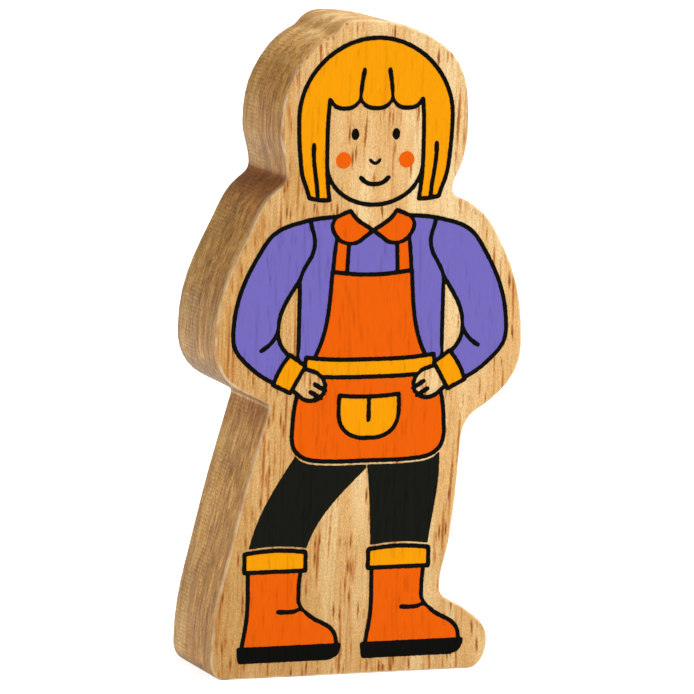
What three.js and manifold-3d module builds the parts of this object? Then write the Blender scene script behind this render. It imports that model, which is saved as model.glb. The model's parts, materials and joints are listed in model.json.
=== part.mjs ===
// Wooden toy figure: one chunky board sawn to the outline of a standing person, its edges
// rounded over, with a picture screen-printed in four inks on the front face.
// Millimetres. The figure stands on the floor at z = 0 and looks along -Y.

import * as THREE from 'three';
import { mergeVertices } from 'three/addons/utils/BufferGeometryUtils.js';
import Module from 'manifold-3d';

const wasm = await Module();
wasm.setup();

// The board and its rounded edges
const boardThickness = 20;
const edgeRadius = 0.6;

// Heights of the outline, stacked from the floor up
const legLength = 45; // floor to waist notches
const torsoLength = 39; // waist notches to neck notches
const headLength = 28.2; // neck notches to crown
const toeRise = 4.9; // floor to the tip of the toe bulge
const heelRise = 3.4; // floor to the widest point of the left foot
const ankleRise = 14.4; // floor to the notch over the toe bulge
const elbowRise = 12.8; // waist to the widest point of the elbows
const shoulderDrop = 8; // neck down to the shoulders
const headRise = 10.2; // neck up to the widest point of the head

// Reaches of the outline to each side of the middle of the head
const headReach = 16.95;
const neckReach = 14.4;
const shoulderReach = 22.4;
const elbowReach = 27.85;
const waistReach = 17.1;
const heelReach = 27.4; // left foot
const toeReach = 23; // right foot
const ankleReach = 14;
const legBow = 1.6; // how far the left side bulges between waist and heel
const toeRadius = 3.4; // where the sides turn into the base
const heelRadius = 2.4;
const notchRadius = 1.6; // neck, waist and ankle notches
const crownShift = 3.2; // the highest point lies left of the middle
const crownFall = 4.3; // crown down to the slope beside the head
const crownWidth = 5.2; // from that slope out to the widest point of the head
const tuftWidth = 4.3; // crown to the flank of the tuft beside it
const tuftDepth = 2.1;
const dipWidth = 1.6; // small dip below the flank
const dipDepth = 1.1;
const templeFall = 6.4; // crown down to the slope left of the dip
const templeWidth = 4.1;

// The print
const inkThickness = 0.1;
const lineWidth = 0.9; // black drawing lines
const inkGap = 0.05; // between two inks
const knockOut = 0.35; // bare line round a solid black area
const bareMargin = 3.1; // bare wood between the picture and the outline

// Head and face
const faceReach = 8.7;
const fringeDrop = 10.4; // top of the hair to the fringe
const lockSag = 1.5; // how far each lock of the fringe hangs
const tipWidth = 3.6; // hair at each side of the neck
const tipDrop = 1.9; // ends of the hair below the neck notches
const tipSlant = 0.4;
const hairCurl = 0.6; // how far the sides of the hair draw in
const hairFall = 3; // neck up to where they do
const templeDrop = 4; // middle of the head down to the sides of the face
const fringeStrandLength = 5;
const sideStrandLength = 9;
const jawRise = 3.4;
const chinDrop = 3.2;
const eyeRise = 12; // features above the chin
const cheekRise = 7.6;
const noseRise = 7.6;
const smileRise = 4.6;
const eyeReach = 3.7;
const eyeWidth = 1.5;
const eyeHeight = 2.1;
const cheekReach = 5.7;
const cheekRadius = 1.4;
const noseWidth = 1.7;
const smileWidth = 5;
const smileSag = 1.1;
const noseLine = 0.7;

// Jumper, collar and hands
const collarWidth = 7.4;
const collarTop = 4.2; // neck down to the top of the collar
const collarSide = 6.6; // neck down to its widest point
const collarDrop = 7.6; // neck down to where the lobes meet
const lobeDepth = 2.2; // how far they hang below that
const lobeWidth = 3; // widest point in to the lowest
const neckHalf = 4.2;
const torsoReach = 13;
const seamInset = 1.6; // shoulder seams against the sides of the trunk
const seamDrop = 5.6; // neck down to the shoulder seams
const armpitDrop = 15.6;
const yokeDrop = 5; // neck down to the jumper beside the collar
const sleeveWidth = 8;
const sleeveRound = 3.6; // elbow in to where the forearm is straight
const creaseLength = 2.9;
const wristReach = 13.2;
const wristRise = 6.4; // above the waist notches
const forearmHeading = 30; // degrees, wrist to elbow
const wristWidth = 4.8;
const cuffLength = 3.2;
const cuffOverhang = 0.25;
const handLength = 5.6;
const handRound = 0.4; // hand against the wrist
const fingerLength = 2.2;
const fingerWidth = 1.5;

// Apron
const bibReach = 7.2;
const bibRise = 24.5; // above the waist notches
const beltReach = 11.6;
const beltRise = 8.2;
const beltWidth = 3;
const hemReach = 13.2;
const hemDrop = 8; // below the waist notches
const hemRound = 3.2;
const clothSag = 0.3; // how far the long edges of the cloth bend
const strapWidth = 2.6;
const strapLean = 0.8;
const strapDrop = 6; // neck down to the ends of the straps
const pocketReach = 5.4;
const pocketDepth = 7.4;
const pocketDrop = 3.4; // belt down to the pocket
const pocketRound = 1.7;
const foldLength = 4;

// Trousers and boots
const legGap = 1.1; // bare line between the legs
const bootLength = 17.2;
const bootHeight = 20; // floor to the top of the shaft
const shaftWidth = 9.6;
const shaftBack = 0.9; // back of the heel to the back of the shaft
const toeRound = 2.6;
const bootCurve = 0.4;
const ankleCreaseLength = 4;
const instepRise = 11.8;
const soleRise = 3.1; // floor to the underside of the sole
const soleThickness = 2.1;
const soleOverhang = 0.5;
const soleRound = 1.6;
const bandHeight = 3.2;
const bandOverhang = 0.7;
const heelGap = 5.4; // outline to the back of the left boot
const bootSpacing = 22.4; // one boot to the other

// Fineness
const outlineSteps = 6;
const drawingStep = 2; // longest chord of a drawn curve
const bevelSteps = 3;
const capSteps = 4;
const dotSteps = 16;
const weldDistance = 0.0001;
const handleShare = 0.38; // length of a curve's handles against its chord

const right = 0;
const up = 90;
const left = 180;
const down = 270;

const waist = legLength;
const neck = legLength + torsoLength;
const crown = neck + headLength;

// A point of a drawn path, with the headings of the lines that arrive and leave.
// A heading that isn't given follows the chord, so two bare corners join by a straight line.
const smooth = (x, y, heading) => ({ x, y, arriving: heading, leaving: heading });
const corner = (x, y, arriving, leaving) => ({ x, y, arriving, leaving });
const isCorner = (point) => point.arriving === undefined || point.arriving !== point.leaving;

function mirrored(points) {
  const turn = (heading) => (heading === undefined ? undefined : -heading);
  const flipped = points.map(({ x, y, arriving, leaving }) => corner(-x, y, turn(leaving), turn(arriving)));
  return flipped.reverse();
}

function moved(points, dx) {
  return points.map((point) => ({ ...point, x: point.x + dx }));
}

function tracePath(points) {
  const path = new THREE.Shape();
  path.moveTo(points[0].x, points[0].y);
  for (let i = 1; i < points.length; i++) {
    const from = points[i - 1];
    const to = points[i];
    if (from.leaving === undefined && to.arriving === undefined) {
      path.lineTo(to.x, to.y);
      continue;
    }
    const chord = THREE.MathUtils.radToDeg(Math.atan2(to.y - from.y, to.x - from.x));
    const handle = handleShare * Math.hypot(to.x - from.x, to.y - from.y);
    const start = THREE.MathUtils.degToRad(from.leaving ?? chord);
    const end = THREE.MathUtils.degToRad(to.arriving ?? chord);
    path.bezierCurveTo(
      from.x + handle * Math.cos(start),
      from.y + handle * Math.sin(start),
      to.x - handle * Math.cos(end),
      to.y - handle * Math.sin(end),
      to.x,
      to.y,
    );
  }
  return path;
}

const closedPath = (points) => tracePath([...points, points[0]]);

// Points along a drawn path, evenly fine on long and short curves
function sampled(path) {
  const points = path.curves.flatMap((curve) => {
    const steps = curve.isLineCurve ? 1 : Math.max(2, Math.ceil(curve.getLength() / drawingStep));
    return curve.getPoints(steps).slice(0, -1);
  });
  return [...points, path.curves.at(-1).getPoint(1)];
}

// Solids of one ink film, as booleans need them
function toSolid(geometry) {
  geometry.deleteAttribute('normal');
  geometry.deleteAttribute('uv');
  const merged = mergeVertices(geometry, weldDistance);
  const vertProperties = new Float32Array(merged.attributes.position.array);
  const triVerts = new Uint32Array(merged.index.array);
  return new wasm.Manifold(new wasm.Mesh({ numProp: 3, vertProperties, triVerts }));
}

function toGeometry(solid) {
  const { vertProperties, triVerts } = solid.getMesh();
  const geometry = new THREE.BufferGeometry();
  geometry.setAttribute('position', new THREE.BufferAttribute(new Float32Array(vertProperties), 3));
  geometry.setIndex(new THREE.BufferAttribute(new Uint32Array(triVerts), 1));
  geometry.computeVertexNormals();
  return geometry;
}

function film(points) {
  const shape = new THREE.Shape(points);
  return toSolid(new THREE.ExtrudeGeometry(shape, { depth: inkThickness, bevelEnabled: false }));
}

const joined = (solids) => solids.reduce((sum, solid) => sum.add(solid));

// One pen stroke with round ends along a smooth path
function penStroke(points, width) {
  const spine = sampled(tracePath(points));
  const half = width / 2;
  const headings = spine.map((point, i) => {
    const before = spine[Math.max(i - 1, 0)];
    const after = spine[Math.min(i + 1, spine.length - 1)];
    return Math.atan2(after.y - before.y, after.x - before.x);
  });
  const offset = (i, angle) =>
    new THREE.Vector2(
      spine[i].x + half * Math.cos(headings[i] + angle),
      spine[i].y + half * Math.sin(headings[i] + angle),
    );
  const last = spine.length - 1;
  const rim = spine.map((_, i) => offset(i, -Math.PI / 2));
  for (let step = 1; step < capSteps; step++) rim.push(offset(last, Math.PI * (step / capSteps - 0.5)));
  for (let i = last; i >= 0; i--) rim.push(offset(i, Math.PI / 2));
  for (let step = 1; step < capSteps; step++) rim.push(offset(0, Math.PI * (step / capSteps + 0.5)));
  return film(rim);
}

// The line round a closed path, drawn as one stroke from each corner to the next
function lineRound(points, width) {
  const first = Math.max(points.findIndex(isCorner), 0);
  const loop = [...points.slice(first), ...points.slice(0, first + 1)];
  const strokes = [];
  let start = 0;
  for (let i = 1; i < loop.length; i++) {
    const half = start === 0 && i === Math.floor(loop.length / 2);
    if (!isCorner(loop[i]) && !half && i < loop.length - 1) continue;
    strokes.push(penStroke(loop.slice(start, i + 1), width));
    start = i;
  }
  return joined(strokes);
}

// Outline of the board, anticlockwise from the base under the right foot
const outline = [
  corner(toeReach - toeRadius, 0, undefined, right),
  smooth(toeReach, toeRise, up),
  smooth(ankleReach + 2.6 * notchRadius, ankleRise - 2.2 * notchRadius, 145),
  smooth(ankleReach, ankleRise, up),
  smooth(ankleReach + notchRadius, ankleRise + 5.5 * notchRadius, 82),
  smooth(waistReach, waist - 3.4 * notchRadius, 86),
  smooth(waistReach + 1.75 * notchRadius, waist, 31),
  smooth(elbowReach, waist + elbowRise - notchRadius, up),
  smooth(shoulderReach, neck - shoulderDrop, 121),
  smooth(neckReach + 2 * notchRadius, neck - 2 * notchRadius, 148),
  smooth(neckReach, neck - notchRadius / 2, up),
  smooth(neckReach + notchRadius, neck + 2.3 * notchRadius, 73),
  smooth(headReach, neck + headRise + notchRadius / 2, up),
  smooth(headReach - crownWidth, crown - crownFall, 147),
  smooth(-crownShift, crown, left),
  smooth(-crownShift - tuftWidth, crown - tuftDepth, 231),
  smooth(-crownShift - tuftWidth - dipWidth, crown - tuftDepth - dipDepth, 211),
  smooth(-headReach + templeWidth, crown - templeFall, 231),
  smooth(-headReach, neck + headRise - notchRadius / 2, down),
  smooth(-neckReach - 0.8 * notchRadius, neck + 1.2 * notchRadius, down),
  smooth(-neckReach - 2 * notchRadius, neck - notchRadius / 3, 219),
  smooth(-shoulderReach, neck - shoulderDrop, 243),
  smooth(-elbowReach, waist + elbowRise, down),
  smooth(-waistReach - 4 * notchRadius, waist + 3 * notchRadius, 332),
  smooth(-waistReach - 0.8 * notchRadius, waist + 1.4 * notchRadius, 333),
  smooth(-waistReach - 0.5 * notchRadius, waist + 0.8 * notchRadius, 254),
  smooth(-(waistReach + heelReach) / 2 - legBow, (heelRise + waist) / 2, 257),
  smooth(-heelReach, heelRise, down),
  corner(-heelReach + heelRadius, 0, right, undefined),
];

const bodyGeometry = new THREE.ExtrudeGeometry(closedPath(outline), {
  depth: boardThickness - 2 * edgeRadius,
  bevelThickness: edgeRadius,
  bevelSize: edgeRadius,
  bevelOffset: -edgeRadius,
  bevelSegments: bevelSteps,
  curveSegments: outlineSteps,
});
bodyGeometry.translate(0, 0, edgeRadius - boardThickness / 2);

// Lines and inks of the picture. A later layer lies over an earlier one.
const inks = {
  yellow: new THREE.MeshStandardMaterial({ color: 0xf09f08, roughness: 0.65, metalness: 0 }),
  orange: new THREE.MeshStandardMaterial({ color: 0xfa690a, roughness: 0.65, metalness: 0 }),
  purple: new THREE.MeshStandardMaterial({ color: 0x786ebf, roughness: 0.65, metalness: 0 }),
  black: new THREE.MeshStandardMaterial({ color: 0x191616, roughness: 0.6, metalness: 0 }),
};

const symmetric = (half) => [...half, ...mirrored(half.slice(1, -1))];

// Hair: a smooth bob with a fringe of three locks, open below where the chin shows
const hairTop = crown - bareMargin;
const hairReach = headReach - bareMargin;
const headMiddle = neck + headRise;
const tipHeight = neck - tipDrop;
const fringe = hairTop - fringeDrop;
const lock = faceReach / 3;
const hair = symmetric([
  smooth(0, hairTop, right),
  smooth(hairReach, headMiddle + lockSag, down),
  smooth(hairReach - hairCurl, neck + hairFall, 263),
  corner(faceReach + tipWidth - hairCurl, tipHeight, 256, 192),
  corner(faceReach - hairCurl, tipHeight - tipSlant, 176, 82),
  smooth(faceReach, headMiddle - templeDrop, up),
  corner(faceReach - hairCurl / 2, fringe, 96, 245),
  smooth(2 * lock, fringe - lockSag, left),
  corner(lock, fringe, 115, 245),
  smooth(0, fringe - lockSag, left),
]);
const fringeStrand = [
  corner(lock, fringe, undefined, 92),
  corner(lock - hairCurl, fringe + fringeStrandLength, 100, undefined),
];
const sideStrand = [
  corner(faceReach + tipWidth / 2 - hairCurl / 2, tipHeight, undefined, 86),
  corner(faceReach + tipWidth / 2 + hairCurl, tipHeight + sideStrandLength, 92, undefined),
];
const chin = neck - chinDrop;
const jaw = [
  corner(-faceReach, neck + jawRise, undefined, 277),
  smooth(0, chin, right),
  corner(faceReach, neck + jawRise, 83, undefined),
];

// Round collar: two lobes that meet under the chin
const collarFront = neck - collarDrop;
const collarLobe = [
  corner(0, collarFront, 152, 34),
  corner(neckHalf, neck - collarTop, 60, 336),
  smooth(collarWidth, neck - collarSide, 264),
  smooth(collarWidth - lobeWidth, collarFront - lobeDepth, 188),
];

// Jumper: the sides of the trunk, the chest between the straps, and a sleeve with the hand on the hip
const bibTop = waist + bibRise;
const belt = waist + beltRise;
const hem = waist - hemDrop;
const strapMiddle = bibReach - strapWidth / 2;
const seam = torsoReach - seamInset;
const shoulderLine = neck - seamDrop;
const armpit = neck - armpitDrop;
const jumperSide = [
  corner(strapMiddle, neck - yokeDrop, undefined, 352),
  corner(seam, shoulderLine, 350, undefined),
  corner(torsoReach, armpit),
  corner(torsoReach, waist + 1),
  corner(bibReach, waist + 1),
  corner(strapMiddle, bibTop - lineWidth),
];
const jumperChest = symmetric([
  corner(0, collarFront),
  corner(strapMiddle, collarFront + lineWidth / 2),
  corner(strapMiddle, bibTop - lineWidth),
  corner(0, bibTop - lineWidth),
]);
const wrist = new THREE.Vector2(wristReach, waist + wristRise);
const alongArm = (along, across, arriving, leaving) => {
  const arm = THREE.MathUtils.degToRad(forearmHeading);
  const x = wrist.x + along * Math.cos(arm) - across * Math.sin(arm);
  const y = wrist.y + along * Math.sin(arm) + across * Math.cos(arm);
  return corner(x, y, arriving, leaving);
};
const wristHalf = wristWidth / 2;
const sleeveReach = elbowReach - bareMargin;
const sleeve = [
  corner(seam, shoulderLine, 82, 346),
  smooth(shoulderReach - bareMargin, neck - shoulderDrop - bareMargin / 2, 303),
  smooth(sleeveReach, waist + elbowRise + lineWidth, down),
  smooth(sleeveReach - sleeveRound, waist + wristRise + 2 * lineWidth, 222),
  alongArm(0, -wristHalf, forearmHeading - 180, forearmHeading + 90),
  alongArm(0, wristHalf, forearmHeading + 90, forearmHeading),
  smooth(sleeveReach - sleeveWidth, waist + elbowRise + 2 * lineWidth, up),
  corner(torsoReach, armpit, 122, 104),
  smooth(seam - lineWidth, (armpit + shoulderLine) / 2 + lineWidth, 92),
];
const elbowCrease = [
  corner(sleeveReach - sleeveWidth, waist + elbowRise + 2 * lineWidth, undefined, 290),
  corner(sleeveReach - sleeveWidth + creaseLength, waist + elbowRise - creaseLength / 2, 330, undefined),
];
const cuff = [
  alongArm(-cuffOverhang, -wristHalf - cuffOverhang),
  alongArm(cuffLength, -wristHalf - 2 * cuffOverhang, undefined, forearmHeading + 80),
  alongArm(cuffLength, wristHalf + 2 * cuffOverhang, forearmHeading + 100, undefined),
  alongArm(-cuffOverhang, wristHalf + cuffOverhang),
];
const handTip = -handLength;
const hand = [
  alongArm(0, wristHalf - handRound, forearmHeading + 90, forearmHeading + 170),
  alongArm(handTip / 2, wristHalf + handRound / 2, forearmHeading + 180, forearmHeading + 180),
  alongArm(handTip, handRound / 2, forearmHeading - 90, forearmHeading - 90),
  alongArm(handTip / 2, -wristHalf, forearmHeading, forearmHeading),
  alongArm(0, -wristHalf + handRound, forearmHeading, forearmHeading + 90),
];
const fingers = [fingerWidth / 2, -fingerWidth / 2].map((across) => [
  alongArm(handTip, across),
  alongArm(handTip + fingerLength, across),
]);

// Apron: bib, two straps, a belt, and a short skirt with a pouch
const strap = [
  corner(bibReach - strapWidth, bibTop - lineWidth),
  corner(bibReach, bibTop - lineWidth),
  corner(bibReach - strapLean, neck - strapDrop),
  corner(bibReach - strapWidth - strapLean / 2, neck - strapDrop),
];
const bib = symmetric([
  smooth(0, bibTop - 2 * clothSag, right),
  corner(bibReach, bibTop, 8, 274),
  corner(beltReach - 2 * clothSag, belt, 302, undefined),
  corner(0, belt),
]);
const skirt = symmetric([
  corner(0, belt),
  corner(beltReach - clothSag, belt, undefined, 296),
  smooth(hemReach + 2 * clothSag, (waist + hem) / 2, down),
  smooth(hemReach - hemRound, hem + clothSag, 187),
  smooth(0, hem, left),
]);
const beltBand = symmetric([
  smooth(0, belt + beltWidth / 2 - clothSag, right),
  corner(beltReach, belt + beltWidth / 2 + clothSag, 8, 275),
  corner(beltReach + clothSag, belt - beltWidth / 2 + clothSag, 275, 188),
  smooth(0, belt - beltWidth / 2 - clothSag, left),
]);
const pocketTop = belt - beltWidth / 2 - pocketDrop;
const pocket = symmetric([
  smooth(0, pocketTop - clothSag, right),
  corner(pocketReach, pocketTop, 6, 272),
  smooth(pocketReach - pocketRound, pocketTop - pocketDepth + pocketRound / 2, 214),
  smooth(0, pocketTop - pocketDepth, left),
]);
const pocketFold = [corner(0, pocketTop - clothSag), corner(0, pocketTop - clothSag - foldLength)];

// Boots stride to the right. Both are drawn from the back of the heel.
const heelX = { left: -heelReach + heelGap, right: -heelReach + heelGap + bootSpacing };
const soleTop = soleRise + soleThickness;
const shaftFront = shaftBack + shaftWidth;
const boot = [
  corner(shaftBack, bootHeight, undefined, 268),
  smooth(shaftBack, instepRise, 268),
  corner(0, soleTop, 262, undefined),
  corner(bootLength, soleTop, undefined, 88),
  smooth(bootLength - toeRound, (soleTop + instepRise + toeRound / 2) / 2, 158),
  smooth(shaftFront + bootCurve / 2, instepRise, 138),
  smooth(shaftFront - bootCurve, instepRise + toeRound, 93),
  corner(shaftFront, bootHeight, 88, undefined),
];
const ankleCrease = [
  corner(shaftFront + bootCurve / 2, instepRise, undefined, 205),
  corner(shaftFront - ankleCreaseLength, instepRise - bootCurve, 178, undefined),
];
const sole = [
  corner(-soleOverhang, soleTop, undefined, 265),
  corner(-soleOverhang / 2, soleRise, 275, undefined),
  corner(bootLength - soleRound, soleRise, undefined, right),
  corner(bootLength + soleOverhang, soleTop, up, undefined),
];
const bootBand = [
  corner(shaftBack - bandOverhang, bootHeight - bandHeight / 2),
  corner(shaftFront + bandOverhang, bootHeight - bandHeight / 2),
  corner(shaftFront + bandOverhang, bootHeight + bandHeight / 2, undefined, 172),
  corner(shaftBack - bandOverhang, bootHeight + bandHeight / 2, 188, undefined),
];

// Trousers: two solid black legs between the skirt and the boots
const legTop = hem + lineWidth;
const legBottom = bootHeight + lineWidth;
const trouserLeg = {
  left: [
    corner(-legGap / 2, legTop),
    corner(-hemReach + 2 * clothSag, legTop, undefined, 236),
    corner(heelX.left + shaftBack + bootCurve / 2, legBottom, 258, undefined),
    corner(heelX.left + shaftFront - bootCurve / 2, legBottom, undefined, 74),
    corner(-legGap / 2, legTop - 2 * lineWidth, 44, undefined),
  ],
  right: [
    corner(legGap / 2, legTop),
    corner(hemReach - 2 * clothSag, legTop, undefined, 272),
    corner(heelX.right + shaftFront - bootCurve / 2, legBottom, 264, undefined),
    corner(heelX.right + shaftBack + bootCurve / 2, legBottom, undefined, 92),
    corner(legGap / 2, legTop - 2 * lineWidth, 97, undefined),
  ],
};

// The picture, from the layer next to the wood to the topmost.
// Layers of one drawing share black lines.
const layers = [];
const addLayer = (drawing, points, ink, name, details = []) =>
  layers.push({ drawing, points, ink, name, details });
const flip = { left: mirrored, right: (points) => points };

for (const side of ['left', 'right']) addLayer(`trousers_${side}`, trouserLeg[side], 'black', null);
for (const side of ['left', 'right']) {
  const placed = (points) => moved(points, heelX[side]);
  addLayer(`boot_lines_${side}`, placed(boot), 'orange', `boot_${side}`, [placed(ankleCrease)]);
  addLayer(`boot_lines_${side}`, placed(sole), 'black', null);
  addLayer(`boot_lines_${side}`, placed(bootBand), 'yellow', `boot_band_${side}`);
}
const clothes = 'clothes_lines';
for (const side of ['left', 'right']) addLayer(clothes, flip[side](jumperSide), 'purple', `jumper_${side}`);
addLayer(clothes, jumperChest, 'purple', 'jumper_chest');
for (const side of ['left', 'right']) addLayer(clothes, flip[side](strap), 'orange', `apron_strap_${side}`);
addLayer(clothes, bib, 'orange', 'apron_bib');
addLayer(clothes, skirt, 'orange', 'apron_skirt');
addLayer(clothes, beltBand, 'yellow', 'apron_belt');
addLayer('pocket_lines', pocket, 'yellow', 'apron_pocket', [pocketFold]);
for (const side of ['left', 'right']) {
  addLayer(clothes, flip[side](sleeve), 'purple', `sleeve_${side}`, [flip[side](elbowCrease)]);
  addLayer(clothes, flip[side](hand), null, null, fingers.map(flip[side]));
  addLayer(clothes, flip[side](cuff), 'yellow', `cuff_${side}`);
  addLayer(clothes, flip[side](collarLobe), 'orange', `collar_${side}`);
}
const strands = [fringeStrand, sideStrand].flatMap((strand) => [strand, mirrored(strand)]);
addLayer('head_lines', hair, 'yellow', 'hair', [...strands, jaw]);

function linesOf(layer, width) {
  return joined([lineRound(layer.points, width), ...layer.details.map((points) => penStroke(points, width))]);
}

// Work from the top layer down: each layer keeps what no later layer hides
const films = new Map();
const drawings = new Map();
let hidden = null;
let hiddenClear = null;
let drawn = null;
const cut = (solid, tool) => (tool ? solid.subtract(tool) : solid);
const grown = (sum, solid) => (sum ? sum.add(solid) : solid);
for (const layer of [...layers].reverse()) {
  const area = film(sampled(closedPath(layer.points)));
  const lines = linesOf(layer, lineWidth);
  const solidBlack = layer.ink === 'black';
  const black = solidBlack ? lines.add(area) : lines;
  const shared = drawings.get(layer.drawing);
  const visible = shared ? cut(black, hidden) : cut(black, hiddenClear);
  drawings.set(layer.drawing, grown(shared, visible));
  const clearLines = linesOf(layer, lineWidth + 2 * inkGap);
  drawn = grown(drawn, cut(clearLines, hidden));
  if (layer.name) films.set(layer.name, { ink: layer.ink, solid: cut(cut(area, hidden), drawn) });
  hidden = grown(hidden, area);
  hiddenClear = grown(hiddenClear, area.add(linesOf(layer, lineWidth + 2 * knockOut)));
}
for (const [name, solid] of drawings) films.set(name, { ink: 'black', solid });

// Face: two eyes, a nose, a smile and two cheeks on the bare wood
const eyes = chin + eyeRise;
for (const [side, sign] of [['left', -1], ['right', 1]]) {
  const eyeOval = new THREE.EllipseCurve(sign * eyeReach, eyes, eyeWidth / 2, eyeHeight / 2);
  const cheekDisc = new THREE.EllipseCurve(sign * cheekReach, chin + cheekRise, cheekRadius, cheekRadius);
  const eye = film(eyeOval.getPoints(dotSteps));
  const cheek = film(cheekDisc.getPoints(dotSteps));
  films.set(`eye_${side}`, { ink: 'black', solid: eye });
  films.set(`cheek_${side}`, { ink: 'orange', solid: cheek });
}
const arc = (rise, width, sag) => [
  corner(-width / 2, chin + rise, undefined, 310),
  smooth(0, chin + rise - sag, right),
  corner(width / 2, chin + rise, 50, undefined),
];
films.set('nose', { ink: 'black', solid: penStroke(arc(noseRise, noseWidth, noseWidth / 3), noseLine) });
films.set('smile', { ink: 'black', solid: penStroke(arc(smileRise, smileWidth, smileSag), lineWidth) });

// The figure stands up, with board and print together centred over the origin
const standing = new THREE.Group();
standing.rotation.x = Math.PI / 2;
standing.position.y = inkThickness / 2;

const wood = new THREE.MeshStandardMaterial({ color: 0xe1b171, roughness: 0.6, metalness: 0 });
const body = new THREE.Mesh(bodyGeometry, wood);
body.name = 'wooden_body';
standing.add(body);

for (const [name, { ink, solid }] of films) {
  const mesh = new THREE.Mesh(toGeometry(solid), inks[ink]);
  mesh.name = name;
  mesh.position.z = boardThickness / 2;
  standing.add(mesh);
}

const group = new THREE.Group();
group.add(standing);

export default group;
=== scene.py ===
import json
import math

import bmesh
import bpy
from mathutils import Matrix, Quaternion, Vector


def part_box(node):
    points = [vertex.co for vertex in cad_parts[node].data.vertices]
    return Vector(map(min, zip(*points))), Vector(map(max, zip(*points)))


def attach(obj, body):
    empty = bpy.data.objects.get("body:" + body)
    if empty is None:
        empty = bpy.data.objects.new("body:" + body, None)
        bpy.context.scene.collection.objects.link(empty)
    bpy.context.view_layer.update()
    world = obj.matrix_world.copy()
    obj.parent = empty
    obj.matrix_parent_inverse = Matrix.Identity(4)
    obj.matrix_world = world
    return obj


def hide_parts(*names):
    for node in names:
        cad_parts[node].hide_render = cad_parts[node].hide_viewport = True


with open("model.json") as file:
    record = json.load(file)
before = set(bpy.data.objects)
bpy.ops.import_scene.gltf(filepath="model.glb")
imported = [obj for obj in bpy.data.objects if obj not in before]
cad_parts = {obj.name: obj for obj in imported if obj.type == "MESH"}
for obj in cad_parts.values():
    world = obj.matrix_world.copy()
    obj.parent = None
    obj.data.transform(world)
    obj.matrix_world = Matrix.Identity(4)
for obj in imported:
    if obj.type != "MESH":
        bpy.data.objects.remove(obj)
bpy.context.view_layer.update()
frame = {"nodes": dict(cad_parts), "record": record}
cadNodes = frame["nodes"]
boardLow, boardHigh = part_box("wooden_body")
mm = 0.001
print("frame loaded:", len(cadNodes), "nodes")


# Camera: front left and a little above, with a long lens
shot = {
    "azimuth": -21.0,
    "elevation": 8.37,
    "roll": 1.48,
    "distance": 1.0158,
    "lens": 311.24,
    "farthest": 50.0,
    "aim": Vector((-4.23 * mm, boardLow.y, 56.6 * mm)),
}


def makeCamera():
    azimuth = math.radians(shot["azimuth"])
    elevation = math.radians(shot["elevation"])
    back = Vector((
        math.sin(azimuth) * math.cos(elevation),
        -math.cos(azimuth) * math.cos(elevation),
        math.sin(elevation),
    ))
    camera = bpy.data.objects.new("camera", bpy.data.cameras.new("camera"))
    camera.data.lens = shot["lens"]
    camera.data.clip_end = shot["farthest"]
    camera.location = shot["aim"] + back * shot["distance"]
    roll = Quaternion((0, 0, 1), math.radians(shot["roll"]))
    camera.rotation_euler = (back.to_track_quat("Z", "Y") @ roll).to_euler()
    bpy.context.collection.objects.link(camera)
    bpy.context.scene.camera = camera


makeCamera()
print("camera placed")


# Small helpers for node trees
def feed(tree, value, socket):  # a socket is linked, anything else is set
    if isinstance(value, bpy.types.NodeSocket):
        tree.links.new(value, socket)
    else:
        socket.default_value = value


def addNode(tree, kind, inputs=None, **settings):
    node = tree.nodes.new(kind)
    for name, value in settings.items():
        setattr(node, name, value)
    for name, value in (inputs or {}).items():
        feed(tree, value, node.inputs[name])
    return node


def calc(tree, operation, first, second=0.0):
    return addNode(tree, "ShaderNodeMath", {0: first, 1: second}, operation=operation).outputs[0]


def product(tree, value, *factors):
    for factor in factors:
        value = calc(tree, "MULTIPLY", value, factor)
    return value


def vectorCalc(tree, operation, first, second):
    inputs = {0: first, ("Scale" if operation == "SCALE" else 1): second}
    return addNode(tree, "ShaderNodeVectorMath", inputs, operation=operation).outputs[0]


def ramp(tree, value, low, high, start=0.0, end=1.0):  # smooth step from low to high
    inputs = {"Value": value, "From Min": low, "From Max": high, "To Min": start, "To Max": end}
    node = addNode(tree, "ShaderNodeMapRange", inputs, interpolation_type="SMOOTHSTEP")
    return node.outputs["Result"]


def mixColor(tree, share, first, second, blend="MIX"):  # 6, 7 and 2 are a Mix node's colour sockets
    node = addNode(tree, "ShaderNodeMix", data_type="RGBA", blend_type=blend)
    feed(tree, share, node.inputs[0])
    feed(tree, first, node.inputs[6])
    feed(tree, second, node.inputs[7])
    return node.outputs[2]


def linear(*screen):  # red, green and blue from 0 to 255, by the sRGB curve, as the shader takes them
    color = []
    for value in screen:
        share = value / 255
        color.append(share / 12.92 if share < 0.04045 else ((share + 0.055) / 1.055) ** 2.4)
    return (*color, 1)


def sizeTree(name, sizes):  # a Geometry Nodes tree with one input for each named size
    tree = bpy.data.node_groups.new(name, "GeometryNodeTree")
    tree.interface.new_socket("Geometry", in_out="INPUT", socket_type="NodeSocketGeometry")
    for size in sizes:
        tree.interface.new_socket(size, in_out="INPUT", socket_type="NodeSocketFloat")
    tree.interface.new_socket("Finish", in_out="INPUT", socket_type="NodeSocketMaterial")
    tree.interface.new_socket("Geometry", in_out="OUTPUT", socket_type="NodeSocketGeometry")
    return tree, tree.nodes.new("NodeGroupInput").outputs


def closeTree(tree, geometry, finish):
    realized = addNode(tree, "GeometryNodeRealizeInstances", {"Geometry": geometry}).outputs[0]
    finished = addNode(tree, "GeometryNodeSetMaterial", {"Geometry": realized, "Material": finish})
    feed(tree, finished.outputs[0], tree.nodes.new("NodeGroupOutput").inputs[0])


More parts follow.
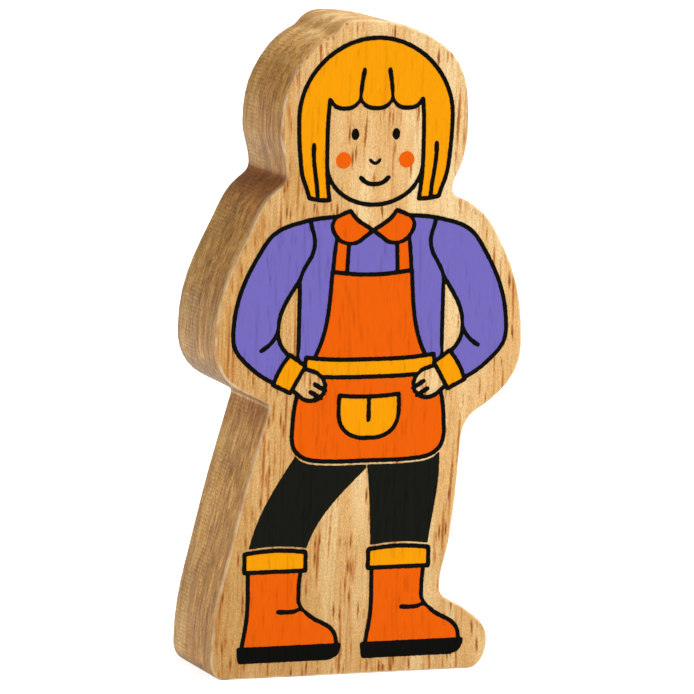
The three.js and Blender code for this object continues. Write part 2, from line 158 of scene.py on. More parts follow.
def runTree(tree, curve, name, sizes, finish):  # the tree's result as a plain mesh object
    modifier = curve.modifiers.new("make", "NODES")
    modifier.node_group = tree
    values = dict(sizes, Finish=finish)
    for item in tree.interface.items_tree:
        if item.in_out == "INPUT" and item.name in values:
            modifier[item.identifier] = values[item.name]
    graph = bpy.context.evaluated_depsgraph_get()
    mesh = bpy.data.meshes.new_from_object(curve.evaluated_get(graph), depsgraph=graph)
    bpy.data.objects.remove(curve)
    mesh.name = name
    piece = bpy.data.objects.new(name, mesh)
    bpy.context.collection.objects.link(piece)
    return piece


# Outlines are read off the solids: x stays x, height becomes the curve's y
sameSpot = mm / 1000  # a solid's points that are closer than this are one point
weldGap = mm / 500  # shells that are closer than this are welded


def rims(node):  # closed rims of a solid's front half, anticlockwise round the outside
    low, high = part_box(node)
    copy = bmesh.new()
    copy.from_mesh(cadNodes[node].data)
    bmesh.ops.remove_doubles(copy, verts=copy.verts, dist=sameSpot)
    middle = (low.y + high.y) / 2
    inFront = [face for face in copy.faces if all(vert.co.y < middle for vert in face.verts)]
    caps = dict.fromkeys(inFront)  # in order, so that every run starts at the same point
    follows = {}
    for face in caps:
        for loop in face.loops:
            if not any(other in caps for other in loop.edge.link_faces if other is not face):
                follows.setdefault(loop.vert, []).append(loop.link_loop_next.vert)
    found = []
    while follows:
        rim = [next(iter(follows))]
        while rim[-1] in follows:
            ends = follows[rim[-1]]
            rim.append(ends.pop())
            if not ends:
                del follows[rim[-2]]
        found.append([Vector((vert.co.x, vert.co.z, 0)) for vert in rim[:-1]])
    copy.free()
    return found


def spaced(loop, longest):  # straight stretches get points between, so that no curve bulges there
    points = []
    for i, start in enumerate(loop):
        end = loop[(i + 1) % len(loop)]
        count = math.ceil((end - start).length / longest)
        points += [start.lerp(end, k / count) for k in range(count)]
    return points


def closedCurve(name, loops, cornerAngle, longest):  # smooth through the points, sharp at the corners
    data = bpy.data.curves.new(name, "CURVE")
    data.dimensions = "3D"
    for rough in loops:
        loop = spaced(rough, longest)
        spline = data.splines.new("BEZIER")
        spline.bezier_points.add(len(loop) - 1)
        spline.use_cyclic_u = True
        for i, point in enumerate(spline.bezier_points):
            arriving = loop[i] - loop[i - 1]
            leaving = loop[(i + 1) % len(loop)] - loop[i]
            point.co = loop[i]
            kind = "VECTOR" if arriving.angle(leaving) > math.radians(cornerAngle) else "AUTO"
            point.handle_left_type = kind
            point.handle_right_type = kind
    curve = bpy.data.objects.new(name, data)
    bpy.context.collection.objects.link(curve)
    return curve


def evenSteps(tree, curve, step):
    inputs = {"Curve": curve, "Length": step}
    return addNode(tree, "GeometryNodeResampleCurve", inputs, mode="LENGTH").outputs[0]


def outward(tree):  # away from the inside of an anticlockwise curve
    tangent = tree.nodes.new("GeometryNodeInputTangent").outputs[0]
    return vectorCalc(tree, "CROSS_PRODUCT", tangent, (0, 0, 1))


def toEitherSide(tree, noise):  # a noise runs from 0 to 1, and its middle becomes 0
    return calc(tree, "SUBTRACT", noise, 0.5)


def welded(tree, shells):
    whole = tree.nodes.new("GeometryNodeJoinGeometry")
    for shell in shells:
        tree.links.new(shell, whole.inputs[0])
    inputs = {"Geometry": whole.outputs[0], "Distance": weldGap}
    return addNode(tree, "GeometryNodeMergeByDistance", inputs).outputs[0]


def standUp(tree, geometry, front):  # the drawing plane turns to face the front
    place = addNode(tree, "ShaderNodeCombineXYZ", {"Y": front}).outputs[0]
    turn = {"Geometry": geometry, "Translation": place, "Rotation": (math.pi / 2, 0, 0)}
    return addNode(tree, "GeometryNodeTransform", turn).outputs[0]


def facesOut(piece):  # one closed shell, every face pointing out
    shell = bmesh.new()
    shell.from_mesh(piece.data)
    bmesh.ops.recalc_face_normals(shell, faces=shell.faces)
    openEdges = sum(1 for edge in shell.edges if not edge.is_manifold)
    shell.to_mesh(piece.data)
    shell.free()
    return openEdges


# The board: its outline swept by a round-over that the sander left a little uneven
board = {
    "Step": 0.4 * mm,
    "Thickness": boardHigh.y - boardLow.y,
    "Edge Radius": 0.6 * mm,
    "Edge Wander": 0.22,
    "Wander Length": 7.0 * mm,
    "Side Wander": 0.05 * mm,
    "Side Length": 3.5 * mm,
    "Land": 0.4 * mm,
    "Middle": (boardHigh.y + boardLow.y) / 2,
}
boardOutline = {"cornerAngle": 180.0, "longest": 1.5 * mm}  # smooth at every point
arcSteps = 10
onTable = (-1, 0, -1)  # the least a point may be: its height stays above the table


def capture(tree, geometry, fields):
    node = addNode(tree, "GeometryNodeCaptureAttribute", {0: geometry})
    for name, (kind, value) in fields.items():
        node.capture_items.new(kind, name)
        feed(tree, value, node.inputs[name])
    return node.outputs


def edgeRadius(tree, sizes, place, face):  # face is 1 in front and -1 behind
    scale = calc(tree, "DIVIDE", 1.0, sizes["Wander Length"])
    inputs = {"Vector": place, "W": face, "Scale": scale, "Detail": 1.0}
    noise = addNode(tree, "ShaderNodeTexNoise", inputs, noise_dimensions="4D").outputs[0]
    wander = calc(tree, "MULTIPLY", toEitherSide(tree, noise), 2.0)  # from -1 to 1
    share = calc(tree, "ADD", 1.0, calc(tree, "MULTIPLY", wander, sizes["Edge Wander"]))
    return calc(tree, "MULTIPLY", sizes["Edge Radius"], share)


def sideWave(tree, sizes, place):
    scale = calc(tree, "DIVIDE", 1.0, sizes["Side Length"])
    noise = addNode(tree, "ShaderNodeTexNoise", {"Vector": place, "Scale": scale}).outputs[0]
    return calc(tree, "MULTIPLY", toEitherSide(tree, noise), sizes["Side Wander"])


def boardRail(tree, sizes):  # the outline in even steps, with what the rows and the faces need of it
    position = tree.nodes.new("GeometryNodeInputPosition").outputs[0]
    along = tree.nodes.new("GeometryNodeSplineParameter").outputs["Length"]
    return capture(tree, evenSteps(tree, sizes["Geometry"], sizes["Step"]), {
        "place": ("VECTOR", position),
        "out": ("VECTOR", outward(tree)),
        "along": ("FLOAT", along),
    })


def boardSide(tree, sizes, rail, half):  # rows: front land, round-over, side, round-over and back land
    rowCount = 2 * (arcSteps + 2)
    line = tree.nodes.new("GeometryNodeCurvePrimitiveLine").outputs[0]
    points = {"Curve": line, "Count": rowCount}
    rowLine = addNode(tree, "GeometryNodeResampleCurve", points, mode="COUNT").outputs[0]
    index = tree.nodes.new("GeometryNodeInputIndex").outputs[0]
    rows = capture(tree, rowLine, {"row": ("FLOAT", index)})
    swept = addNode(tree, "GeometryNodeCurveToMesh", {"Curve": rail[0], "Profile Curve": rows[0]})

    row = rows["row"]
    behind = calc(tree, "GREATER_THAN", row, rowCount / 2 - 0.5)
    face = calc(tree, "SUBTRACT", 1.0, calc(tree, "MULTIPLY", 2.0, behind))
    inner = calc(tree, "MINIMUM", row, calc(tree, "SUBTRACT", rowCount - 1.0, row))
    arc = calc(tree, "MAXIMUM", calc(tree, "SUBTRACT", inner, 1.0), 0.0)
    angle = calc(tree, "MULTIPLY", arc, math.pi / 2 / arcSteps)
    radius = edgeRadius(tree, sizes, rail["place"], face)
    land = calc(tree, "MULTIPLY", calc(tree, "LESS_THAN", inner, 0.5), sizes["Land"])
    sunk = calc(tree, "MULTIPLY", radius, calc(tree, "SUBTRACT", 1.0, calc(tree, "SINE", angle)))
    drop = calc(tree, "MULTIPLY", radius, calc(tree, "SUBTRACT", 1.0, calc(tree, "COSINE", angle)))
    wave = sideWave(tree, sizes, rail["place"])
    inset = calc(tree, "SUBTRACT", calc(tree, "ADD", sunk, land), wave)
    height = calc(tree, "MULTIPLY", face, calc(tree, "SUBTRACT", half, drop))
    rise = addNode(tree, "ShaderNodeCombineXYZ", {"Z": height}).outputs[0]
    flat = vectorCalc(tree, "SUBTRACT", rail["place"], vectorCalc(tree, "SCALE", rail["out"], inset))
    shaped = addNode(tree, "GeometryNodeSetPosition", {
        "Geometry": swept.outputs[0],
        "Position": vectorCalc(tree, "MAXIMUM", vectorCalc(tree, "ADD", flat, rise), onTable),
    })
    marked = addNode(tree, "GeometryNodeStoreNamedAttribute", {
        "Geometry": shaped.outputs[0],
        "Name": "along",
        "Value": rail["along"],
    }, data_type="FLOAT", domain="POINT")
    return marked.outputs[0]


def broadFace(tree, sizes, rail, half, face):
    inset = calc(tree, "ADD", edgeRadius(tree, sizes, rail["place"], face), sizes["Land"])
    inset = calc(tree, "SUBTRACT", inset, sideWave(tree, sizes, rail["place"]))
    inward = vectorCalc(tree, "SCALE", rail["out"], calc(tree, "MULTIPLY", inset, -1.0))
    level = addNode(tree, "ShaderNodeCombineXYZ", {"Z": calc(tree, "MULTIPLY", half, face)})
    inside = addNode(tree, "GeometryNodeSetPosition", {"Geometry": rail[0], "Offset": inward})
    filled = addNode(tree, "GeometryNodeFillCurve", {"Curve": inside.outputs[0]}, mode="NGONS")
    lift = {"Geometry": filled.outputs[0], "Translation": level.outputs[0]}
    return addNode(tree, "GeometryNodeTransform", lift).outputs[0]


def boardTree():
    tree, sizes = sizeTree("sawnBoard", board)
    half = calc(tree, "MULTIPLY", sizes["Thickness"], 0.5)
    rail = boardRail(tree, sizes)
    shells = [boardSide(tree, sizes, rail, half)]
    shells += [broadFace(tree, sizes, rail, half, face) for face in (1.0, -1.0)]
    smooth = addNode(tree, "GeometryNodeSetShadeSmooth", {"Geometry": welded(tree, shells)})
    closeTree(tree, standUp(tree, smooth.outputs[0], sizes["Middle"]), sizes["Finish"])
    return tree


def makeBoard(finish):
    curve = closedCurve("board_outline", rims("wooden_body"), **boardOutline)
    piece = runTree(boardTree(), curve, "board", board, finish)
    openEdges = facesOut(piece)
    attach(piece, "root")
    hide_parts("wooden_body")
    print("board:", len(piece.data.polygons), "faces,", openEdges, "open edges")


# The inks: each printed field is a thin film with a slightly ragged edge
film = {
    "Step": 0.14 * mm,
    "Grow": 0.0,  # this and the thickness differ with each printing
    "Ragged": 0.08 * mm,
    "Ragged Length": 0.55 * mm,
    "Thickness": 0.05 * mm,
    "Front": boardLow.y,
}
inkOutline = {"cornerAngle": 58.0, "longest": 2.5 * mm}
raggedNoise = {"Detail": 3.0, "Roughness": 0.6}
raggedSwing = 3.0  # the noise stays near its middle, so it is widened
printings = {  # the key lines are printed last and lie over the edges of the fields
    "ink_yellow": {"Grow": 0.25 * mm, "Thickness": 0.030 * mm},
    "ink_orange": {"Grow": 0.25 * mm, "Thickness": 0.036 * mm},
    "ink_purple": {"Grow": 0.25 * mm, "Thickness": 0.042 * mm},
    "ink_black": {"Grow": -0.07 * mm, "Thickness": 0.060 * mm},
}
blackField = {"Grow": 0.1 * mm, "Thickness": 0.048 * mm, "ink": "black_field"}
exceptions = {
    "cheek_left": {"Grow": 0.0},  # no key line goes round the cheeks
    "cheek_right": {"Grow": 0.0},
    "trousers_left": blackField,
    "trousers_right": blackField,
}


def filmTree():
    tree, sizes = sizeTree("inkFilm", film)
    rim = evenSteps(tree, sizes["Geometry"], sizes["Step"])
    scale = calc(tree, "DIVIDE", 1.0, sizes["Ragged Length"])
    noise = addNode(tree, "ShaderNodeTexNoise", {"Scale": scale, **raggedNoise})
    feed(tree, tree.nodes.new("GeometryNodeInputPosition").outputs[0], noise.inputs["Vector"])
    swing = calc(tree, "MULTIPLY", toEitherSide(tree, noise.outputs[0]), raggedSwing)
    push = calc(tree, "ADD", sizes["Grow"], calc(tree, "MULTIPLY", swing, sizes["Ragged"]))
    moved = addNode(tree, "GeometryNodeSetPosition", {
        "Geometry": rim,
        "Offset": vectorCalc(tree, "SCALE", outward(tree), push),
    })
    under = addNode(tree, "GeometryNodeFillCurve", {"Curve": moved.outputs[0]}, mode="NGONS").outputs[0]
    raised = addNode(tree, "GeometryNodeExtrudeMesh", {
        "Mesh": under,
        "Offset Scale": sizes["Thickness"],
        "Individual": False,
    })
    flipped = addNode(tree, "GeometryNodeFlipFaces", {"Mesh": under})
    whole = welded(tree, (raised.outputs[0], flipped.outputs[0]))
    closeTree(tree, standUp(tree, whole, sizes["Front"]), sizes["Finish"])
    return tree


def makePrint(finishes):
    tree = filmTree()
    faceCount = 0
    for part in frame["record"]["subparts"]:
        node, slot = part["node"], part["material_slot"]
        if slot not in printings:
            continue
        sizes = {**film, **printings[slot], **exceptions.get(node, {})}
        curve = closedCurve(node + "_rim", rims(node), **inkOutline)
        piece = runTree(tree, curve, node + "_ink", sizes, finishes[sizes.get("ink", slot)])
        openEdges = facesOut(piece)
        faceCount += len(piece.data.polygons)
        if openEdges:
            print("open edges on", piece.name, openEdges)
        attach(piece, "root")
        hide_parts(node)
    print("print:", faceCount, "faces")


# Rubberwood: upright fibres and open pores, one grain through the whole block.
# Sizes are across and along the fibres, in mm. A noise fades in between the values of its edge.
grain = {
    "pale": linear(232, 199, 144),
    "warm": linear(217, 170, 106),
    "deep": linear(188, 126, 52),
    "pore": linear(180, 112, 41),
    "core": linear(112, 60, 18),
    # the rubbed arris: worn wood with a painted highlight
    "wornAndLit": linear(224, 199, 165),
    "heart": (4.0, -26.0),  # the wood deepens from the first x to the second: partly its own tone, partly painted shade as the light falls off to the left
    "heartAndShadeTint": (0.84, 0.80, 0.66, 1),
    "heartWarm": 0.8,
    "heartCrowd": 0.8,
    "lowerShade": (48.0, 8.0),  # and from the first height to the second, as painted shade
    "lowerShadeTint": (0.88, 0.86, 0.80, 1),
    "bend": {"size": (14.0, 40.0), "detail": 1.0, "reach": 4.0},
    "band": {"size": (4.0, 45.0), "detail": 2.0, "shift": 3.1, "edge": (0.34, 0.68)},
    "cluster": {"size": (4.0, 24.0), "detail": 1.0, "shift": 5.9, "edge": (0.42, 0.66)},
    "clusterWarm": 0.45,
    "fibre": {"size": (0.46, 11.0), "detail": 3.0, "shift": 7.7},
    "fibreEdge": (0.46, 0.74),
    "fibreDeep": (0.28, 0.56),  # in calm wood, and what crowded wood adds
    "fine": {"size": (0.16, 2.0), "detail": 2.0, "shift": 1.3},
    "fineLight": (0.25, 0.75, 0.90, 1.08),
    "speck": {"size": (0.20, 0.28), "detail": 2.0, "shift": 4.3},
    "speckLight": (0.25, 0.75, 0.80, 1.20),
    "ragged": {"size": (0.35, 0.6), "detail": 1.0, "reach": 0.24},
    "dash": {"size": (0.68, 4.8), "shift": 8.4, "thick": 0.268, "share": (0.13, 0.64)},  # calm, crowded
    "line": {"size": (0.95, 24.0), "shift": 2.2, "thick": 0.21, "share": (0.36, 0.86)},
    "lineCore": 0.6,
    "margin": (1.7, 0.8),  # a pore's margin and middle fade in here, in shares of its thickness
    "middle": (0.9, 0.4),
    "poreDepth": 1.5,
    "relief": 0.03 * mm,
}


def stretched(tree, place, size, shift):
    across, along = size
    thin = vectorCalc(tree, "DIVIDE", place, (across, across, along))
    return vectorCalc(tree, "ADD", thin, (shift, shift, shift))


def streaks(tree, place, size, detail, shift=0.0):
    inputs = {"Vector": stretched(tree, place, size, shift), "Scale": 1.0, "Detail": detail}
    return addNode(tree, "ShaderNodeTexNoise", inputs).outputs


def patches(tree, place, edge, **noise):
    return ramp(tree, streaks(tree, place, **noise)[0], *edge)


def swayed(tree, place, reach, **noise):  # the place, pushed about by a noise
    swing = streaks(tree, place, **noise)["Color"]
    centred = vectorCalc(tree, "SUBTRACT", swing, (0.5, 0.5, 0.5))
    return vectorCalc(tree, "ADD", place, vectorCalc(tree, "SCALE", centred, reach))


def grey(tree, value):
    inputs = {"Red": value, "Green": value, "Blue": value}
    return addNode(tree, "ShaderNodeCombineColor", inputs).outputs[0]


def spindles(tree, place, crowded, size, shift, thick, share):  # pores: soft margin and dark middle
    inputs = {"Vector": stretched(tree, place, size, shift), "Scale": 1.0}
    cell = addNode(tree, "ShaderNodeTexVoronoi", inputs).outputs
    lot = addNode(tree, "ShaderNodeSeparateColor", {0: cell["Color"]}).outputs["Red"]
    shown = calc(tree, "LESS_THAN", lot, ramp(tree, crowded, 0.0, 1.0, *share))
    return [
        product(tree, ramp(tree, cell["Distance"], thick * outer, thick * inner), shown)
        for outer, inner in (grain["margin"], grain["middle"])
    ]


def grainGroup():
    tree = bpy.data.node_groups.new("rubberwoodGrain", "ShaderNodeTree")
    upright = addNode(tree, "ShaderNodeTexCoord").outputs["Object"]
    straight = vectorCalc(tree, "SCALE", upright, 1 / mm)
    place = swayed(tree, straight, **grain["bend"])
    spot = addNode(tree, "ShaderNodeSeparateXYZ", {0: straight}).outputs
    heart = ramp(tree, spot["X"], *grain["heart"])
    lowerShade = ramp(tree, spot["Z"], *grain["lowerShade"])
    fibre, fine, speck = [streaks(tree, place, **grain[name])[0] for name in ("fibre", "fine", "speck")]

    # Pores crowd together here and there, and most of all near the heart
    cluster = patches(tree, place, **grain["cluster"])
    crowded = calc(tree, "ADD", cluster, product(tree, heart, grain["heartCrowd"]))
    crowded = calc(tree, "MINIMUM", crowded, 1.0)
    rough = swayed(tree, place, **grain["ragged"])
    dashMargin, dashMiddle = spindles(tree, rough, crowded, **grain["dash"])
    lineMargin, lineMiddle = spindles(tree, rough, crowded, **grain["line"])
    pore = calc(tree, "MAXIMUM", dashMargin, lineMargin)
    core = calc(tree, "MAXIMUM", dashMiddle, product(tree, lineMiddle, grain["lineCore"]))

    # Warm bands, deep fibres, darker towards the heart (partly painted shade) and lower down (painted shade),
    # finely speckled
    tone = patches(tree, place, **grain["band"])
    for value, share in ((heart, "heartWarm"), (cluster, "clusterWarm")):
        tone = calc(tree, "ADD", tone, product(tree, value, grain[share]))
    color = mixColor(tree, calc(tree, "MINIMUM", tone, 1.0), grain["pale"], grain["warm"])
    calm, added = grain["fibreDeep"]
    deep = calc(tree, "ADD", calm, product(tree, crowded, added))
    deep = product(tree, ramp(tree, fibre, *grain["fibreEdge"]), deep)
    color = mixColor(tree, deep, color, grain["deep"])
    # the heart tint is partly painted shade, the lower tint is painted shade
    for share, tint in ((heart, "heartAndShadeTint"), (lowerShade, "lowerShadeTint")):
        color = mixColor(tree, share, color, grain[tint], "MULTIPLY")
    light = ramp(tree, fine, *grain["fineLight"])
    light = product(tree, light, ramp(tree, speck, *grain["speckLight"]))
    color = mixColor(tree, 1.0, color, grey(tree, light), "MULTIPLY")
    relief = calc(tree, "ADD", fine, fibre)
    relief = calc(tree, "SUBTRACT", relief, product(tree, pore, grain["poreDepth"]))

    results = {"Color": color, "Pore": pore, "Core": core, "Fibre": fibre, "Relief": relief}
    for name in results:
        kind = "NodeSocketColor" if name == "Color" else "NodeSocketFloat"
        tree.interface.new_socket(name, in_out="OUTPUT", socket_type=kind)
    outlet = tree.nodes.new("NodeGroupOutput").inputs
    for name, value in results.items():
        tree.links.new(value, outlet[name])
    return tree


grainNodes = grainGroup()


def newFinish(name):
    finish = bpy.data.materials.new(name)
    finish.use_nodes = True
    tree = finish.node_tree
    wood = addNode(tree, "ShaderNodeGroup", node_tree=grainNodes).outputs
    return finish, tree, tree.nodes["Principled BSDF"].inputs, wood


def applyLook(tree, shader, color, wood, height, look):
    bump = {"Height": height, "Distance": grain["relief"], "Strength": look["bump"]}
    feed(tree, color, shader["Base Color"])
    feed(tree, ramp(tree, wood["Relief"], *look["roughness"]), shader["Roughness"])
    feed(tree, addNode(tree, "ShaderNodeBump", bump).outputs[0], shader["Normal"])
    shader["Specular IOR Level"].default_value = look["specular"]


# The sawn sides: duller and striped, with saw marks across them; the arrises are rubbed pale, partly real
# wear and partly painted highlight.
# Depths run from front to back, heights upwards, both in mm.
# Ahead is 1 where a face looks to the front or the back, up is 1 where it looks up.
sawnSide = {
    "ahead": (0.75, 0.25),  # from the broad faces to the sides
    "stripe": {"size": (1.0, 20.0), "detail": 3.0, "shift": 6.6, "edge": (0.34, 0.68)},
    "light": (1.00, 0.98, 0.84, 1),
    "dark": (0.59, 0.52, 0.36, 1),
    "behindDepth": (0.0, 8.0, 0.0, 0.85),
    "behind": (0.955, 1.00, 0.91, 1),
    # painted sheen: faces that look up, the end grain, turn paler and bluer
    "endGrainSheenUp": (0.35, 1.0),
    "endGrainSheen": (0.98, 1.05, 1.30, 1),
    "blotch": {"size": (2.4, 18.0), "detail": 2.0, "shift": 5.2, "edge": (0.36, 0.64)},
    "blotchDark": (0.86, 0.82, 0.74, 1),
    "blotchLight": (1.13, 1.14, 1.12, 1),
    "torn": {"size": (0.20, 0.55), "detail": 3.0, "shift": 9.3, "edge": (0.32, 0.68, 0.78, 1.22)},
    "footPaintedLight": (60.0, 30.0, 0.96, 1.27),  # painted light: paler from the first height to the second
    "poreShow": (1.0, 0.60),  # on the broad faces and on the sides
    "coreShow": (0.90, 0.38),
}
saw = {
    "pitch": 0.68,
    "length": 2.2,
    "rowStep": 3.7,  # so that neighbouring rows aren't alike
    "shake": {"size": (3.0, 3.0), "detail": 2.0},
    "shakeReach": 0.9,
    "dashEdge": (0.36, 0.58),
    "patch": {"size": (7.0, 7.0), "detail": 2.0, "shift": 1.9, "edge": (0.36, 0.60)},
    "depth": (-5.0, 4.0, 0.15, 1.0),
    "dark": (0.80, 0.75, 0.70, 1),
    "light": (1.08, 1.12, 1.18, 1),
    "relief": 0.4,
}
scorchesAndShades = {  # neck and waist, where the cutter turned: scorch, with painted shade in the notches; x and height, and how far from there
    "neck": {"place": (14.4, 84.0), "reach": (10.5, 1.5), "tint": (0.66, 0.42, 0.16, 1)},
    "waist": {"place": (18.0, 46.0), "reach": (7.0, 1.0), "tint": (0.82, 0.69, 0.54, 1)},
}
scorchShadeUp = (-0.05, 0.20)  # only faces that look up, even a little
shades = {  # painted shade: darker by depth at the back arris, by facing underneath, and by height at the head
    "depth": {"reach": (6.0, 8.5), "tint": (0.86, 0.85, 0.86, 1)},
    "up": {"reach": (-0.1, -0.6), "tint": (0.58, 0.56, 0.53, 1)},
    "height": {"reach": (68.0, 86.0), "tint": (0.92, 0.86, 0.68, 1)},
}
shadedAhead = (1.0, 0.6)  # from none on the broad faces to all on the sides
# rubbed arrises: partly real wear, partly painted highlight, wider along the top
rubbingAndHighlight = {
    "noise": {"size": (3.5, 3.5), "detail": 3.0, "shift": 2.7, "edge": (0.35, 0.62, 0.15, 0.65)},
    "reach": (0.75, 0.35),  # in from the broad faces: gone at the first, full at the second, in mm
    "ahead": (0.97, 0.80),
    "depth": (-2.0, 2.0, 1.0, 0.35),
    "wideUp": (0.0, 0.5, 1.0, 0.45),  # on top it is wider
    "weakUp": (0.0, 0.5, 1.0, 0.5),  # and weaker
}
woodLook = {"roughness": (0.0, 1.4, 0.62, 0.48), "specular": 0.30, "bump": 0.5}


def surface(tree):  # where a point of the board is, in mm, and which way it faces
    coordinates = addNode(tree, "ShaderNodeTexCoord").outputs
    place = vectorCalc(tree, "SCALE", coordinates["Object"], 1 / mm)
    spot = addNode(tree, "ShaderNodeSeparateXYZ", {0: place}).outputs
    normal = addNode(tree, "ShaderNodeSeparateXYZ", {0: coordinates["Normal"]}).outputs
    return {
        "place": place,
        "aside": calc(tree, "ABSOLUTE", spot["X"]),
        "depth": spot["Y"],
        "height": spot["Z"],
        "ahead": calc(tree, "ABSOLUTE", normal["Y"]),
        "up": normal["Z"],
    }


def sawMarks(tree, here):  # rows of short dashes, in patches, mostly behind the middle
    along = addNode(tree, "ShaderNodeAttribute", attribute_name="along").outputs["Fac"]
    shake = product(tree, streaks(tree, here["place"], **saw["shake"])[0], saw["shakeReach"])
    strokes = calc(tree, "ADD", calc(tree, "DIVIDE", along, saw["pitch"] * mm), shake)
    wave = calc(tree, "SINE", product(tree, strokes, 2 * math.pi))
    rowPlace = addNode(tree, "ShaderNodeCombineXYZ", {
        "X": calc(tree, "DIVIDE", here["depth"], saw["length"]),
        "Y": product(tree, calc(tree, "FLOOR", strokes), saw["rowStep"]),
    }).outputs[0]
    inputs = {"Vector": rowPlace, "Scale": 1.0, "Detail": 0.0}
    rowNoise = addNode(tree, "ShaderNodeTexNoise", inputs).outputs[0]
    patch = patches(tree, here["place"], **saw["patch"])
    patch = product(tree, patch, ramp(tree, here["depth"], *saw["depth"]))
    return product(tree, wave, ramp(tree, rowNoise, *saw["dashEdge"]), patch)


def sideTints(tree, here, marks):  # stripes, saw marks, painted sheen on faces that look up, and blotches with torn fibres
    place = here["place"]
    tint = patches(tree, place, **sawnSide["stripe"])
    tint = mixColor(tree, tint, sawnSide["light"], sawnSide["dark"])
    behind = ramp(tree, here["depth"], *sawnSide["behindDepth"])
    tint = mixColor(tree, behind, tint, sawnSide["behind"])
    # painted sheen on faces that look up
    tint = mixColor(tree, ramp(tree, here["up"], *sawnSide["endGrainSheenUp"]), tint, sawnSide["endGrainSheen"])
    markTint = mixColor(tree, ramp(tree, marks, -1.0, 1.0), saw["dark"], saw["light"])
    blotch = patches(tree, place, **sawnSide["blotch"])
    blotch = mixColor(tree, blotch, sawnSide["blotchDark"], sawnSide["blotchLight"])
    torn = patches(tree, place, **sawnSide["torn"])
    # paler towards the foot: painted light
    torn = product(tree, torn, ramp(tree, here["height"], *sawnSide["footPaintedLight"]))
    return tint, markTint, mixColor(tree, 1.0, blotch, grey(tree, torn), "MULTIPLY")


def scorchedAndShaded(tree, here, color, sawn):  # scorch with painted shade where the cutter turned, and the painted shades above
    scorchShadeHere = product(tree, ramp(tree, here["up"], *scorchShadeUp), sawn)
    for scorchAndShade in scorchesAndShades.values():
        aside, height = scorchAndShade["place"]
        away = addNode(tree, "ShaderNodeCombineXYZ", {
            "X": calc(tree, "SUBTRACT", here["aside"], aside),
            "Y": calc(tree, "SUBTRACT", here["height"], height),
        }).outputs[0]
        away = addNode(tree, "ShaderNodeVectorMath", {0: away}, operation="LENGTH").outputs["Value"]
        share = product(tree, ramp(tree, away, *scorchAndShade["reach"]), scorchShadeHere)
        color = mixColor(tree, share, color, scorchAndShade["tint"], "MULTIPLY")
    around = ramp(tree, here["ahead"], *shadedAhead)
    for name, shade in shades.items():
        share = product(tree, ramp(tree, here[name], *shade["reach"]), around)
        color = mixColor(tree, share, color, shade["tint"], "MULTIPLY")
    return color


# pale rubbed arrises: partly real wear, partly painted highlight
def rubbedAndLitArris(tree, here):
    fromMiddle = calc(tree, "SUBTRACT", here["depth"], board["Middle"] / mm)
    half = 0.5 * board["Thickness"] / mm
    inward = calc(tree, "SUBTRACT", half, calc(tree, "ABSOLUTE", fromMiddle))
    inward = product(tree, inward, ramp(tree, here["up"], *rubbingAndHighlight["wideUp"]))
    rubbedAndLit = ramp(tree, inward, *rubbingAndHighlight["reach"])
    for value, name in (("ahead", "ahead"), ("depth", "depth"), ("up", "weakUp")):
        rubbedAndLit = product(tree, rubbedAndLit, ramp(tree, here[value], *rubbingAndHighlight[name]))
    return product(tree, rubbedAndLit, patches(tree, here["place"], **rubbingAndHighlight["noise"]))


def woodFinish():
    finish, tree, shader, wood = newFinish("rubberwood")
    here = surface(tree)
    sawn = ramp(tree, here["ahead"], *sawnSide["ahead"])
    marks = product(tree, sawMarks(tree, here), sawn)
    color = wood["Color"]
    for mask, show in (("Pore", "poreShow"), ("Core", "coreShow")):
        share = product(tree, wood[mask], ramp(tree, sawn, 0.0, 1.0, *sawnSide[show]))
        color = mixColor(tree, share, color, grain[mask.lower()])
    for tint in sideTints(tree, here, marks):
        color = mixColor(tree, sawn, color, tint, "MULTIPLY")
    color = scorchedAndShaded(tree, here, color, sawn)
    # rubbed arrises: wear and painted highlight
    color = mixColor(tree, rubbedAndLitArris(tree, here), color, grain["wornAndLit"])
    height = calc(tree, "ADD", wood["Relief"], product(tree, marks, saw["relief"]))
    applyLook(tree, shader, color, wood, height, woodLook)
    return finish


# Inks: thin enough that fibres and pores show faintly through
inks = {
    "ink_yellow": {"color": linear(232, 149, 2), "shade": linear(226, 141, 2), "pore": linear(206, 112, 2)},
    "ink_orange": {"color": linear(223, 91, 3), "shade": linear(217, 85, 3), "pore": linear(192, 63, 2)},
    "ink_purple": {"color": linear(110, 99, 177), "shade": linear(106, 95, 172), "pore": linear(84, 72, 150)},
    "ink_black": {"color": linear(9, 9, 6), "shade": linear(11, 11, 8), "pore": linear(5, 5, 4)},
    "black_field": {"color": linear(20, 21, 15), "shade": linear(22, 23, 17), "pore": linear(8, 8, 6)},
}
inkLook = {
    "fibreEdge": (0.42, 0.78),
    "mottle": (0.4, 1.4, 0.93, 1.06),  # by the relief of the wood below
    "poreShow": 0.42,
    "roughness": (0.0, 1.4, 0.62, 0.50),
    "specular": 0.03,
    "bump": 0.3,
}


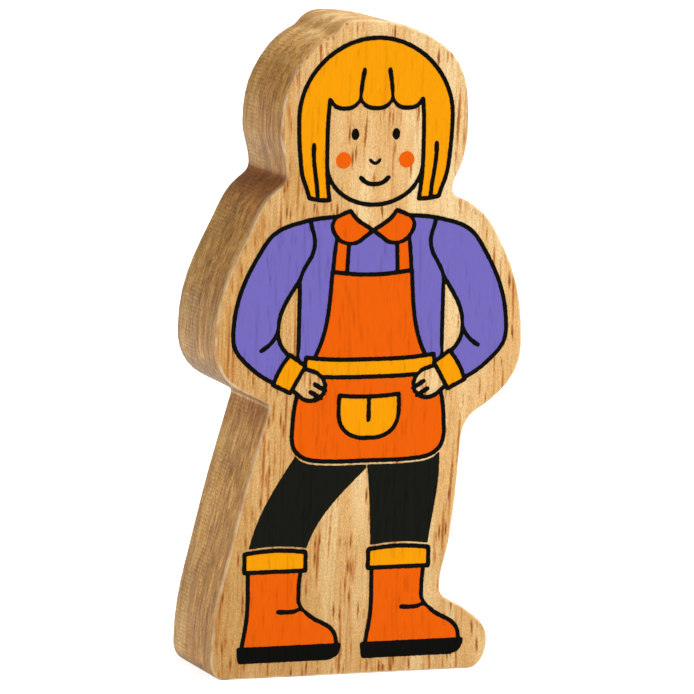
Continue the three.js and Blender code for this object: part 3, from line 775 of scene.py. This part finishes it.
def inkFinish(name):
    ink = inks[name]
    finish, tree, shader, wood = newFinish(name)
    color = mixColor(tree, ramp(tree, wood["Fibre"], *inkLook["fibreEdge"]), ink["color"], ink["shade"])
    mottle = grey(tree, ramp(tree, wood["Relief"], *inkLook["mottle"]))
    color = mixColor(tree, 1.0, color, mottle, "MULTIPLY")
    color = mixColor(tree, product(tree, wood["Core"], inkLook["poreShow"]), color, ink["pore"])
    applyLook(tree, shader, color, wood, wood["Relief"], inkLook)
    return finish


makeBoard(woodFinish())
makePrint({name: inkFinish(name) for name in inks})


# Stage: a plain pale floor and soft studio light
studio = {
    "floorSize": 14.0,
    "floorColor": (0.35, 0.35, 0.35, 1),
    "floorRoughness": 0.9,
    "floorGlow": (0.88, 0.88, 0.88, 1),
    "glowStrength": 1.0,
    "sky": (1, 1, 1, 1),
    "skyStrength": 0.25,
    "lamps": {
        "key": {"from": (1.2, -3.4, 3.2), "size": 2.4, "power": 99.0},
        "top": {"from": (1.6, 0.6, 4.0), "size": 3.0, "power": 245.0},
        "fill": {"from": (-2.6, -1.0, 0.7), "size": 1.6, "power": 10.0},
    },
}


def makeFloor():
    half = studio["floorSize"] / 2
    corners = [(-half, -half, 0), (half, -half, 0), (half, half, 0), (-half, half, 0)]
    mesh = bpy.data.meshes.new("floor")
    mesh.from_pydata(corners, [], [(0, 1, 2, 3)])
    finish = bpy.data.materials.new("palePaper")
    finish.use_nodes = True
    shader = finish.node_tree.nodes["Principled BSDF"].inputs
    shader["Base Color"].default_value = studio["floorColor"]
    shader["Roughness"].default_value = studio["floorRoughness"]
    shader["Emission Color"].default_value = studio["floorGlow"]
    shader["Emission Strength"].default_value = studio["glowStrength"]
    mesh.materials.append(finish)
    floor = bpy.data.objects.new("floor", mesh)
    bpy.context.collection.objects.link(floor)


def makeLight():
    world = bpy.data.worlds.new("studio")
    world.use_nodes = True
    sky = world.node_tree.nodes["Background"].inputs
    sky["Color"].default_value = studio["sky"]
    sky["Strength"].default_value = studio["skyStrength"]
    bpy.context.scene.world = world
    for name, lamp in studio["lamps"].items():
        data = bpy.data.lights.new(name, "AREA")
        data.size = lamp["size"]
        data.energy = lamp["power"]
        light = bpy.data.objects.new(name, data)
        light.location = lamp["from"]
        light.rotation_euler = Vector(lamp["from"]).to_track_quat("Z", "Y").to_euler()
        bpy.context.collection.objects.link(light)
    bpy.context.scene.view_settings.view_transform = "Standard"


makeFloor()
makeLight()
print("stage lit")
